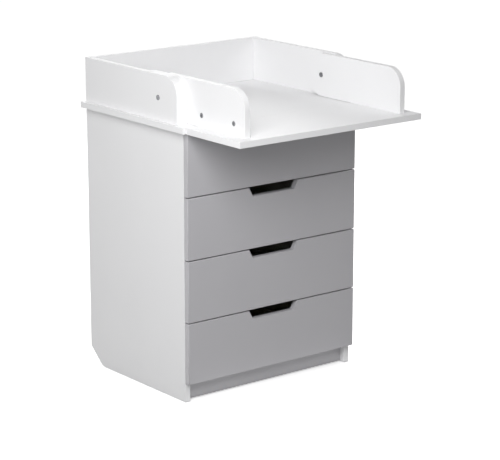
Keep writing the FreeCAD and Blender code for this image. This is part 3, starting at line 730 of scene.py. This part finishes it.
# ---------------------------------------------------------------- changing board and its screws
# The changing board lies on the cabinet and stands out beyond it on three sides. Four screws
# come up into it through the cabinet's top, and two alike hold the packing board to its rail.
# Longer ones hold the rails from below.

SCREW_HEAD = 4 * MM
SCREW_ROUND = 2 * MM
SCREW_RISE = 0.6 * MM
SCREW_PITCH = 1.8 * MM
SCREW_SHANK = 3 * MM      # the plain stretch under the head
RAIL_SCREW_HEAD = 5 * MM
RAIL_SCREW_ROUND = 3 * MM
RAIL_SCREW_RISE = 0.8 * MM
RAIL_SCREW_PITCH = 3 * MM
RAIL_SCREW_SHANK = 12 * MM
HEAD_RIM = 0.3 * MM


def countersunk(long, head, radius, rise, pitch, shank):
    """A screw that stands on its point, its cross-headed countersunk head on top."""
    core = radius - rise
    tip = 2.2 * core
    head_low = long - (head - radius)
    shank_low = head_low - shank
    flat = 0.95 * head
    profile = [
        (0, 0),
        (tip, core),
        (shank_low, core),
        (shank_low, radius),
        (head_low, radius),
        (long - HEAD_RIM, head),
        (long, flat),
    ]
    piece = turned(profile)
    cross_end(piece, long, flat, cross_long=1.1 * head, cross_wide=0.25 * head, deep=0.4 * head)
    add_thread(piece, tip, shank_low, core, rise, pitch)
    return piece


cut_board("changing_board", "changing_top", white_melamine)

screws = bmesh.new()
for low, high in solids_of("wood_screws"):
    if high.z - low.z > high.x - low.x:
        head_end, tip = ends_of(low, high, "Z")
    else:
        tip, head_end = ends_of(low, high, "X")
    screw = countersunk(
        (head_end - tip).length, SCREW_HEAD, SCREW_ROUND, SCREW_RISE, SCREW_PITCH, SCREW_SHANK
    )
    set_in(screws, screw, tip, head_end)
to_object(screws, "board_screws", [zinc], "wood_screws")

rail_screws = bmesh.new()
for low, high in solids_of("rail_screws"):
    head_end, tip = ends_of(low, high, "Z")
    screw = countersunk(
        (head_end - tip).length, RAIL_SCREW_HEAD, RAIL_SCREW_ROUND, RAIL_SCREW_RISE,
        RAIL_SCREW_PITCH, RAIL_SCREW_SHANK,
    )
    set_in(rail_screws, screw, tip, head_end)
to_object(rail_screws, "surround_screws", [zinc], "rail_screws")


# ---------------------------------------------------------------- surround
# Three rails stand on the changing board, the side ones with a round nose at the front. A
# packing board on the left rail brings it out to the leaf.

NOSE_FLAT = 2.8 * MM      # the flats of the round noses are longer than this

for node, name in {
    "rail_left": "left_rail",
    "rail_right": "right_rail",
    "rail_back": "back_rail",
    "packing_board": "left_packing",
}.items():
    cut_board(node, name, white_melamine, shortest=NOSE_FLAT)


# ---------------------------------------------------------------- leaf
# The leaf is a board with a rail on each side, of the same white board, and lengthens the
# changing board to the front. Two dark cams in each rail draw it down to the board.

# Nickel-plated castings and bolts, burnished dark: grey, half matt.
dark_nickel = make_metal("nickel_burnished_dark", "#A3A4A7", "#88898C", rough=0.4, grain=3 * MM)

for node, name in {
    "leaf_board": "leaf_panel",
    "leaf_rail_left": "left_leaf_rail",
    "leaf_rail_right": "right_leaf_rail",
}.items():
    cut_board(node, name, white_melamine, shortest=NOSE_FLAT)

leaf_cams = bmesh.new()
for low, high in solids_of("leaf_cams"):
    inner, outer = sorted(ends_of(low, high, "X"), key=lambda end: abs(end.x))
    set_in(leaf_cams, cam_disc((outer - inner).length), inner, outer)
to_object(leaf_cams, "rail_cams", [dark_nickel], "leaf_cams")

leaf_pins = bmesh.new()
for low, high in solids_of("leaf_cam_pins"):
    below, above = ends_of(low, high, "Z")
    set_in(leaf_pins, cam_pin((above - below).length), above, below)
to_object(leaf_pins, "rail_cam_pins", [zinc], "leaf_cam_pins")


# ---------------------------------------------------------------- hinges of the leaf
# One through-bolt on each side carries the leaf: a flat-headed bolt from outside screws into a
# sleeve nut from inside, on which the leaf's rail turns. Both are driven by a hex key.

RIM_EASE = 0.35 * MM
RIM_BEND = 60             # degrees; the rim of a turned fitting bends more than this
KEY_ROUND = 2.3 * MM      # half the width over corners of a 4 mm hex key
KEY_DEEP = 1.2 * MM


def hex_socket(fitting, head):
    """Sinks a socket for a hex key into a flat round face."""
    outward = head.normal.copy()
    middle = head.calc_center_median()
    border = head.edges[:]
    bmesh.ops.delete(fitting, geom=[head], context="FACES_ONLY")
    turn = Vector((0, 0, 1)).rotation_difference(outward).to_matrix().to_4x4()
    ring = bmesh.ops.create_circle(
        fitting, cap_ends=True, radius=KEY_ROUND, segments=6,
        matrix=Matrix.Translation(middle) @ turn,
    )
    sink_recess(fitting, border, [ring["verts"][0].link_faces[0]], outward * -KEY_DEEP)
    bmesh.ops.recalc_face_normals(fitting, faces=fitting.faces)


# The bolts are driven from outside, and the sleeve nuts from inside.
for node, name, way in (
    ("hinge_bolts", "leaf_hinge_bolts", 1),
    ("hinge_sleeves", "leaf_hinge_sleeves", -1),
):
    fitting = merged_copy(node)
    rims = [edge for edge in fitting.edges if edge.calc_face_angle(0) > math.radians(RIM_BEND)]
    ease(fitting, rims, RIM_EASE)
    for side in (-1, 1):
        mine = [face for face in fitting.faces if face.calc_center_median().x * side > 0]
        square = [face for face in mine if face.normal.x * side * way > 0.99]
        head = max(square, key=lambda face: face.calc_center_median().x * side * way)
        hex_socket(fitting, head)
    to_object(fitting, name, [dark_nickel], node)


# ---------------------------------------------------------------- studio
# White paper sweep that glows bright enough to go out to plain white, with a soft shadow painted
# into its glow where the cabinet touches it. A large soft box stands at the front left, above the
# leaf, and weaker ones light the other sides.

FLOOR_HALF = 40.0
CONTACT = 0.1             # reach of the shadow painted round the foot of the cabinet
floor_shape = bmesh.new()
bmesh.ops.create_grid(floor_shape, x_segments=1, y_segments=1, size=FLOOR_HALF)
floor_mesh = bpy.data.meshes.new("studio_floor")
floor_shape.to_mesh(floor_mesh)
floor_shape.free()
floor = bpy.data.objects.new("studio_floor", floor_mesh)
bpy.context.scene.collection.objects.link(floor)
paper = new_material("studio_paper")
# Painted shadow: the paper's glow is dimmed where the cabinet stands near, which paints a soft
# shade round its foot.
nearness = add_node(paper, "ShaderNodeAmbientOcclusion", {"Distance": CONTACT}, samples=8)
glow_with_painted_shadow = add_node(
    paper, "ShaderNodeMapRange",
    {"Value": nearness.outputs["AO"], "From Min": 0.3, "To Min": 0.35, "To Max": 0.85},
)
paper_shader = add_node(
    paper, "ShaderNodeBsdfPrincipled",
    {
        "Base Color": colour("#F6F6F6"),
        "Roughness": 0.9,
        "Emission Color": colour("#FFFFFF"),
        "Emission Strength": glow_with_painted_shadow.outputs["Result"],
    },
)
finish_surface(paper, paper_shader)
floor_mesh.materials.append(paper)
floor.visible_diffuse = False
floor.visible_shadow = False

PHOTO_WIDE = 500
PHOTO_FOCAL = 2008.6      # in pixels of the photograph
CAMERA_AT = (-3.5489, -4.539, 1.9236)
YAW = 0.665
PITCH = 0.2514
camera_data = bpy.data.cameras.new("camera")
camera_data.sensor_width = 36
camera_data.lens = PHOTO_FOCAL / PHOTO_WIDE * camera_data.sensor_width
camera_data.clip_end = 5 * FLOOR_HALF
camera = bpy.data.objects.new("camera", camera_data)
camera.location = CAMERA_AT
camera.rotation_euler = (math.pi / 2 - PITCH, 0, -YAW)
bpy.context.scene.collection.objects.link(camera)
bpy.context.scene.camera = camera

SUBJECT = Vector((0, 0, 0.5))
STRIP_AT = Vector((0, -0.16, 0.004))
STRIP_LONG_SIDE = 0.62
STRIP_SHORT_SIDE = 0.12
SKY_LIGHT = 0.2


def add_light(name, place, size, power, aim=SUBJECT):
    """A round soft box at a place, aimed at the dresser unless it says otherwise."""
    lamp = bpy.data.lights.new(name, "AREA")
    lamp.shape = "DISK"
    lamp.size = size
    lamp.energy = power
    item = bpy.data.objects.new(name, lamp)
    item.location = place
    item.rotation_euler = (Vector(aim) - Vector(place)).to_track_quat("-Z", "Y").to_euler()
    bpy.context.scene.collection.objects.link(item)
    return item


add_light("key_box", (-1.6, -1.6, 1.9), size=1.5, power=52)
add_light("top_box", (0, 0, 3), size=2.0, power=8.6)
add_light("side_fill", (-3.2, 0.2, 1.3), size=1.6, power=17)
add_light("back_box", (1.6, 2.6, 2.2), size=1.6, power=18)
add_light("back_fill", (0.4, 3.4, 1.1), size=1.8, power=44)
add_light("right_fill", (3.4, 0.4, 1.0), size=1.8, power=42)

# Light that the paper throws back up at the plinth: a strip that lies on it and points up.
bounce = add_light(
    "paper_bounce", STRIP_AT, STRIP_LONG_SIDE, power=0.09, aim=STRIP_AT + Vector((0, 0, 1))
)
bounce.data.shape = "RECTANGLE"
bounce.data.size_y = STRIP_SHORT_SIDE
bounce.visible_camera = False

# The sky lights the piece softly, and looks plain white where it is seen above the floor.
studio = bpy.data.worlds.new("studio")
studio.use_nodes = True
seen = add_node(studio, "ShaderNodeLightPath").outputs["Is Camera Ray"]
sky = add_node(
    studio, "ShaderNodeMapRange", {"Value": seen, "To Min": SKY_LIGHT, "To Max": 1.0}
)
backdrop = studio.node_tree.nodes["Background"]
backdrop.inputs["Color"].default_value = (1, 1, 1, 1)
studio.node_tree.links.new(sky.outputs["Result"], backdrop.inputs["Strength"])
bpy.context.scene.world = studio
bpy.context.scene.view_settings.view_transform = "Standard"
